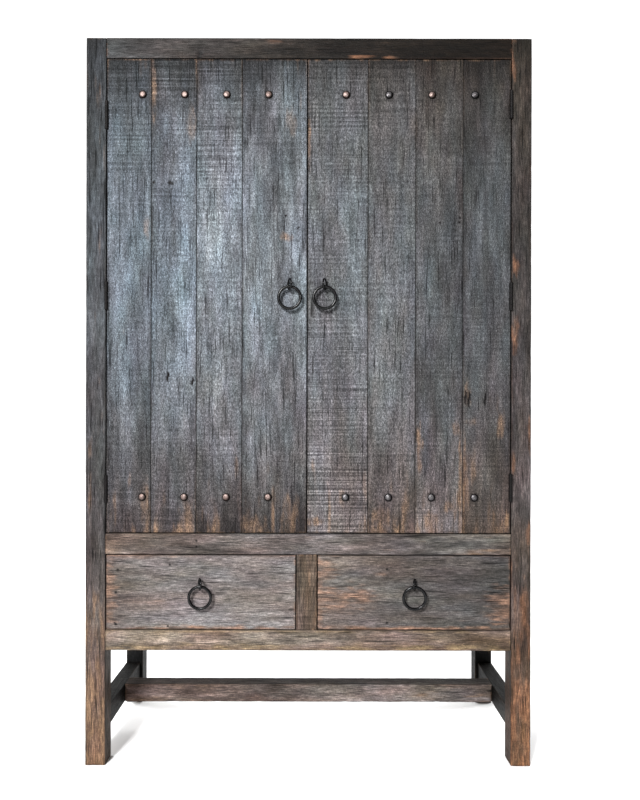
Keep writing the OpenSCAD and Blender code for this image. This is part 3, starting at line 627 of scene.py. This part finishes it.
def stretchers():
    # Painted shade: the side stretchers are nearly black, as they lie in the shade under the cabinet.
    dark = {"shade": (0.2, 0.2, 0.2), "cool": (-1, -1, -1), "bare": (-0.3, -0.3, -0.3), "wear": 0.3,
            "radius": 1.6 * MM}
    for side, _ in SIDES:
        node = f"{side}_stretcher"
        low, high = low_of(node), high_of(node)
        low[Y], high[Y] = POST_BACK, POST_FORE
        board(f"{node}_wood", low, high, Y, "carcass", "frame_wood", node, dark, step=5 * MM)
    low, high = low_of("cross_stretcher"), high_of("cross_stretcher")
    low[X], high[X] = high_of("left_stretcher")[X], low_of("right_stretcher")[X]
    board("cross_stretcher_wood", low, high, X, "carcass", "frame_wood", "cross_stretcher",
          {"shade": (6.5, 8, 4), "cool": (-1.5, -1, -1), "bare": (0.2, 0.1, 0.1), "wear": 0.8,
           "blotch": 1.2, "reddish": (0.7, 0.5, 0.3), "painted_shade_sides": ((Z, 1, 0.35),), "radius": 1.8 * MM,
           "relief": 0.5 * MM, "saw": (0, 0, 0)}, step=4 * MM, grain_step=6 * MM)


def boards_of(node, along, body, slot, look, step=11 * MM):
    """A worn board for every solid of a CAD node."""
    for n, (low, high) in enumerate(solids(node)):
        tone = 1 + 0.2 * math.sin(n * 2.4 + len(node))
        shade = tuple(s * tone for s in look["shade"])
        board(f"{node}_{n + 1}", low, high, along, body, slot, node, {**look, "shade": shade}, step=step)


def panels():
    outer = {"shade": (5, 5.5, 4.5), "cool": (0, 0.5, 0), "bare": (0.2, 0.05, 0.1),
             "saw": (0.1, 0.15, 0.2),
             "blotch": 0.7}
    inner = {"shade": (9, 9, 9), "cool": (-2.0, -2.0, -2.0), "wear": 0.1, "blotch": 0.4}
    for node in ("left_side_boards", "right_side_boards"):
        boards_of(node, Z, "carcass", "dark_boards", outer, 8 * MM)
    boards_of("back_boards", Z, "carcass", "dark_boards", outer, 10 * MM)
    boards_of("top_boards", X, "carcass", "dark_boards", outer, 10 * MM)
    for node in ("cabinet_floor", "bottom_boards", "lower_shelf", "upper_shelf"):
        boards_of(node, X, "carcass", "inner_wood", inner)
    for node in ("floor_bearers", "shelf_cleats", "drawer_runners"):
        boards_of(node, Y, "carcass", "inner_wood", inner)


# ---------------------------------------------------------------- the doors

# What sets each door plank apart from the rest: its tone along its length, and its own marks. The brighter,
# bluer middles of the planks, most of all on the left door, are partly the blue-grey film of the finish and
# partly a painted sheen.
PLANK_LOOKS = {
    "left_door_plank_1": {
        "shade": (2, 4.5, 2), "cool": (-0.5, 1.5, 1), "saw": (0.3, 0.15, 0.6),
        "stains": ((0.108, 0.822, 0.009, 0.030, 0.5), (0.104, 0.090, 0.012, 0.060, 0.5))},
    "left_door_plank_2": {
        "shade": (2.5, 5.5, 2), "cool": (-0.5, 1.5, 0.5), "saw": (0.4, 0.15, 0.7),
        "cracks": ((0.045, 0.420, 0.036, 0.005), (0.112, 0.407, 0.030, 0.004)),
        "holes": ((0.049, 0.943, 0.006), (0.056, 0.940, 0.004), (0.006, 0.943, 0.004)),
        "stains": ((0.004, 1.200, 0.008, 0.100, 0.5), (0.108, 1.100, 0.012, 0.050, 0.3),
                   (0.100, 0.040, 0.020, 0.050, 0.4))},
    "left_door_plank_3": {
        "shade": (1.5, 7, 3.5), "cool": (-0.5, 1, 0.5), "saw": (0.4, 0.15, 0.75)},
    "left_door_plank_4": {
        "shade": (1.5, 7, 2), "cool": (-0.5, 1, 0.5), "saw": (0.2, 0.1, 0.3), "blotch": 1.1,
        "stains": ((0.120, 0.797, 0.018, 0.012, 0.7), (0.128, 1.110, 0.014, 0.045, 0.35),
                   (0.030, 0.020, 0.028, 0.030, 0.6), (0.130, 0.045, 0.025, 0.050, 0.5)),
        "cracks": ((0.116, 0.855, 0.010, 0.004), (0.150, 0.822, 0.009, 0.004))},
    "right_door_plank_1": {
        "shade": (7, 5, 4.5), "cool": (-0.5, 0.5, 0), "saw": (1.0, 0.4, 0.55), "blotch": 0.5,
        "stains": ((0.002, 1.060, 0.006, 0.090, 0.7), (0.023, 0.030, 0.030, 0.014, 0.75),
                   (0.155, 0.120, 0.006, 0.060, 0.35))},
    "right_door_plank_2": {
        "shade": (3.5, 5.5, 3), "cool": (-1, 0.5, -0.5), "saw": (0.3, 0.2, 0.4), "blotch": 0.6,
        "stains": ((0.037, 0.045, 0.035, 0.022, 0.5),)},
    "right_door_plank_3": {
        "shade": (6.5, 3.5, 4), "cool": (-0.5, 0.5, -1), "saw": (0.3, 0.2, 0.2), "blotch": 0.7,
        "holes": ((0.119, 0.850, 0.0034), (0.118, 0.838, 0.0040), (0.066, 0.836, 0.0030)),
        "stains": ((0.010, 0.228, 0.009, 0.065, 0.8), (0.109, 0.290, 0.012, 0.022, 0.5),
                   (0.039, 0.035, 0.020, 0.026, 0.7), (0.090, 0.075, 0.014, 0.016, 0.6),
                   (0.122, 0.130, 0.007, 0.110, 0.7))},
    "right_door_plank_4": {
        "shade": (3, 3, 1.5), "cool": (-1.5, 0.5, -1), "saw": (0.3, 0.2, 0.2), "blotch": 0.8,
        "stains": ((0.003, 0.120, 0.008, 0.130, 0.9), (0.104, 0.290, 0.009, 0.045, 0.6),
                   (0.117, 0.022, 0.012, 0.030, 0.9), (0.020, 0.300, 0.020, 0.014, 0.4),
                   (0.013, 0.372, 0.014, 0.036, 0.4)),
        "cracks": ((0.008, 0.366, 0.050, 0.0036), (0.0175, 0.360, 0.056, 0.0044),
                   (0.061, 0.360, 0.046, 0.0036))},
}


def nail_soil_and_shade_rings(side, low, high):
    """Where the nail heads of a door sit on one of its planks, and how far the dirt and painted contact
    shade around them reach.
    """
    found = []
    for stud_low, stud_high in solids(f"{side}_door_studs"):
        middle = (stud_low + stud_high) / 2
        if low[X] < middle[X] < high[X]:
            reach = (stud_high[X] - stud_low[X]) / 2 + NAIL_SOIL_AND_SHADE_REACH
            found.append((middle[X] - low[X], middle[Z] - low[Z], reach))
    return found


def doors():
    for side, _ in SIDES:
        body = f"{side}_door"
        outermost = 1 if side == "left" else 4
        for n in (1, 2, 3, 4):
            node = f"{side}_door_plank_{n}"
            pins = PINS[side] if n == outermost else ()
            look = {"wear": 0.4, "radius": 0.9 * MM, "blotch": 0.75, "bare": (0.3, -0.3, -0.05),
                    "high_end_shade": 0.7, "reddish": (0.6, 0.1, 0.2), "edge_soil_and_shade": 1.9 * MM,
                    **PLANK_LOOKS[node]}
            look["nail_soil_and_shade"] = nail_soil_and_shade_rings(side, low_of(node), high_of(node))
            board(f"{node}_wood", low_of(node), high_of(node), Z, body, "dark_boards", node, look,
                  step=3.5 * MM, grain_step=4 * MM, pins=pins)
        for n, (low, high) in enumerate(solids(f"{side}_door_battens")):
            board(f"{side}_door_batten_{n + 1}", low, high, X, body, "inner_wood",
                  f"{side}_door_battens", {"shade": (4, 4, 4), "cool": (-1.5, -1.5, -1.5)}, step=7 * MM)


# ---------------------------------------------------------------- the drawers

def drawers():
    looks = {
        "left": {"shade": (6, 9, 10), "cool": (-1, -0.5, -0.5), "bare": (0.1, -0.1, 0.0),
                 "wear": 0.6,
                 "stains": ((0.100, 0.000, 0.140, 0.028, 0.6), (0.000, 0.270, 0.011, 0.300, 1.0),
                            (0.100, 0.541, 0.130, 0.010, 0.7), (0.199, 0.100, 0.008, 0.120, 0.5)),
                 "holes": ((0.160, 0.031, 0.0034), (0.098, 0.026, 0.0036), (0.012, 0.026, 0.0036),
                           (0.016, 0.023, 0.0028), (0.173, 0.171, 0.0032), (0.008, 0.166, 0.0032))},
        "right": {"shade": (8.5, 5.5, 3.5), "cool": (-1, -0.5, -0.5), "bare": (0.0, -0.1, -0.1),
                  "wear": 0.5,
                  "stains": ((0.100, 0.000, 0.140, 0.016, 0.7), (0.000, 0.250, 0.009, 0.280, 1.0),
                             (0.085, 0.060, 0.035, 0.090, 0.7), (0.060, 0.505, 0.050, 0.050, 0.8),
                             (0.155, 0.020, 0.030, 0.030, 0.5), (0.150, 0.170, 0.006, 0.020, 0.4)),
                  "holes": ((0.162, 0.187, 0.0034), (0.018, 0.187, 0.0034))},
    }
    inner = {"shade": (13, 13, 13), "cool": (-2.0, -2.0, -2.0), "wear": 0.1, "blotch": 0.35}
    for side, _ in SIDES:
        body = f"{side}_drawer"
        front = f"{body}_front"
        board(f"{front}_wood", low_of(front), high_of(front), X, body, "frame_wood", front,
              {"saw": (0, 0, 0), "blotch": 0.6, "reddish": (0.3, 0.25, 0.25), "bare_colour": RUST,
               "radius": 1.2 * MM, **looks[side]}, step=4 * MM,
              grain_step=6 * MM)
        for n, (low, high) in enumerate(solids(f"{body}_box")):
            along = X if high[X] - low[X] > high[Y] - low[Y] else Y
            board(f"{body}_box_{n + 1}", low, high, along, body, "inner_wood", f"{body}_box", inner,
                  step=9 * MM)
        board(f"{body}_bottom_board", low_of(f"{body}_bottom"), high_of(f"{body}_bottom"), X, body,
              "inner_wood", f"{body}_bottom", inner, step=11 * MM)


# ---------------------------------------------------------------- ironwork

def loop_mesh(name, middle, radius, wire, seed, material, segments=120, sides=20):
    """A hammered ring of round wire in the XZ plane."""
    turn = np.linspace(0, 2 * np.pi, segments, endpoint=False)
    way = np.stack([np.cos(turn), np.zeros(segments), np.sin(turn)], 1)
    dents = noise(way * radius, np.full(3, radius * 0.35), seed)
    wide = wire * (1 - 0.09 * dents)
    angle = np.linspace(0, 2 * np.pi, sides, endpoint=False)
    points = []
    for k in range(segments):
        ring = way[k] * (radius + wide[k] * np.cos(angle))[:, None]
        ring = ring + np.array((0, 1, 0)) * (wide[k] * np.sin(angle))[:, None]
        points.append(middle + ring)
    a, b = np.meshgrid(np.arange(segments), np.arange(sides), indexing="ij")
    a, b = a.ravel(), b.ravel()
    c, d = (b + 1) % sides, (a + 1) % segments
    quads = np.stack([a * sides + b, a * sides + c, d * sides + c, d * sides + b], 1)
    return mesh_object(name, np.concatenate(points), quads.tolist(), material)


def dome(name, middle, radius, rise, seed, material, rings=10, sides=28):
    """A hand-made nail head that stands out of a front face, with a flat back."""
    share = np.linspace(0, 1, rings + 1)[1:]
    turn = np.linspace(0, 2 * np.pi, sides, endpoint=False)
    points = [np.array([[0, -rise * 0.97, 0]])]
    for s in share:
        r = radius * np.sin(s * np.pi / 2)
        height = rise * np.cos(s * np.pi / 2) ** 0.9
        flat = np.stack([np.cos(turn) * r, np.full(sides, -height), np.sin(turn) * r], 1)
        dents = noise(flat, np.full(3, radius * 0.5), seed)[:, None]
        points.append(flat * (1 - np.array((0.05, 0.22, 0.05)) * dents))
    points.append(np.array([[0, 0, 0]]))
    points = np.concatenate(points)
    faces = []
    for k in range(sides):
        n = (k + 1) % sides
        faces.append((0, 1 + k, 1 + n))
        for r in range(rings - 1):
            a = 1 + r * sides
            faces.append((a + k, a + sides + k, a + sides + n, a + n))
        a = 1 + (rings - 1) * sides
        faces.append((a + k, len(points) - 1, a + n))
    piece = mesh_object(name, points + middle, faces, material)
    # Painted highlight and shade: the tint is brightest a little up and to the left of the head's middle,
    # towards the key light, and falls to dark at the rim.
    spread = np.hypot(points[:, X] + 0.12 * radius, points[:, Z] - 0.12 * radius) / radius
    painted_highlight_and_rim_shade = 0.05 + 0.95 * (1 - ramp(spread, 0.35, 0.9))
    store(piece, "tint", "FLOAT_COLOR", np.repeat(painted_highlight_and_rim_shade[:, None], 3, axis=1))
    return piece


def studs():
    for side, _ in SIDES:
        node = f"{side}_door_studs"
        for n, (low, high) in enumerate(solids(node)):
            middle = (low + high) / 2
            radius = (high[X] - low[X]) / 2
            middle[Y] = FRONT + STUD_SINK
            rise = middle[Y] - low[Y]
            iron = GREY_STUD_IRON if side == "right" and n % 4 != 1 else STUD_IRON
            piece = dome(f"{side}_stud_{n + 1}", middle, radius, rise, 11 * n + len(side), iron)
            place(piece, f"{side}_door", "stud_iron", node)


def rings():
    for n, pull in enumerate(("left_door", "right_door", "left_drawer", "right_drawer")):
        node = f"{pull}_ring"
        low, high = low_of(node), high_of(node)
        wire = (high[Y] - low[Y]) / 2
        radius = (high[X] - low[X]) / 2 - wire
        piece = loop_mesh(f"{node}_iron", (low + high) / 2, radius, wire, 5 + n, BLACK_IRON)
        place(piece, node, "black_iron", node)


def metal_parts():
    """The hinges, screws, catches, plates and eyes keep the shapes of the CAD."""
    finishes = {
        "hinge_frame_leaves": HINGE_IRON, "hinge_pins": HINGE_IRON, "hinge_frame_screws": STEEL,
        "door_catches": STEEL,
    }
    for side, _ in SIDES:
        finishes[f"{side}_door_hinge_leaves"] = HINGE_IRON
        finishes[f"{side}_door_hinge_screws"] = STEEL
        finishes[f"{side}_door_strike_plate"] = STEEL
        finishes[f"{side}_door_eye"] = BLACK_IRON
        finishes[f"{side}_drawer_eye"] = BLACK_IRON
    for node, material in finishes.items():
        mesh = frame["nodes"][node].data
        mesh.materials.clear()
        mesh.materials.append(material)


# ---------------------------------------------------------------- light and camera

def studio():
    """A plain pale floor under the feet."""
    mat, tree = new_material("studio_floor")
    shader = add(tree, "ShaderNodeBsdfPrincipled", {"Base Color": (0.92, 0.92, 0.92, 1), "Roughness": 0.9})
    add(tree, "ShaderNodeOutputMaterial", {"Surface": shader.outputs["BSDF"]})
    n = 24
    cuts = np.linspace(-FLOOR_HALF, FLOOR_HALF, n + 1)
    x, y = np.meshgrid(cuts, cuts, indexing="ij")
    points = np.stack([x.ravel(), y.ravel(), np.full(x.size, -FLOOR_DROP)], 1)
    row, column = np.meshgrid(np.arange(n), np.arange(n), indexing="ij")
    first = (row * (n + 1) + column).ravel()
    quads = np.stack([first, first + n + 1, first + n + 2, first + 1], 1)
    mesh_object("studio_floor", points, quads.tolist(), mat)


def world():
    """A white surround, dimmer on the armoire than behind it."""
    made = bpy.data.worlds.new("studio_world")
    made.use_nodes = True
    bpy.context.scene.world = made
    tree = made.node_tree
    tree.nodes.clear()
    seen = add(tree, "ShaderNodeLightPath").outputs["Is Camera Ray"]
    strength = add(tree, "ShaderNodeMapRange", {"Value": seen, "To Min": 0.12, "To Max": 0.6})
    sky = add(tree, "ShaderNodeBackground", {"Color": (1, 1, 1, 1), "Strength": strength.outputs["Result"]})
    add(tree, "ShaderNodeOutputWorld", {"Surface": sky.outputs["Background"]})


def lamp(name, place_at, look_at, size, power):
    """A soft rectangular light that faces a point."""
    data = bpy.data.lights.new(name, "AREA")
    data.shape = "RECTANGLE"
    data.size, data.size_y = size
    data.energy = power
    lamp_object = bpy.data.objects.new(name, data)
    bpy.context.collection.objects.link(lamp_object)
    lamp_object.location = place_at
    lamp_object.rotation_euler = (Vector(look_at) - Vector(place_at)).to_track_quat("-Z", "Y").to_euler()


def camera():
    """The photo's view: from in front of the middle, at half height, close to the armoire."""
    data = bpy.data.cameras.new("photo_camera")
    data.lens = 30.5
    data.sensor_width = 36
    data.shift_x = 0.00705
    data.shift_y = 0.01875
    data.clip_start = 0.05
    made = bpy.data.objects.new("photo_camera", data)
    bpy.context.collection.objects.link(made)
    made.location = (0.016, FRONT - 1.825, 0.945)
    made.rotation_euler = (math.pi / 2, math.radians(-0.13), 0)
    bpy.context.scene.camera = made


bpy.context.scene.view_settings.view_transform = "Standard"
bpy.context.scene.view_settings.exposure = 1.0
posts()
front_rails()
hidden_rails()
mullion()
stretchers()
panels()
doors()
drawers()
studs()
rings()
metal_parts()
studio()
world()
lamp("key_light", (-1.5, FRONT - 3.8, 2.9), (0, 0, 0.9), (0.9, 0.9), 260)
lamp("back_wash", (0, 7.0, 5), (0, 7.0, 0), (12, 10), 580)
for side, sign in SIDES:
    lamp(f"{side}_side_light", (sign * 4.5, 2.2, 2.4), (0, 0, 1.0), (1.4, 1.4), 110)
camera()
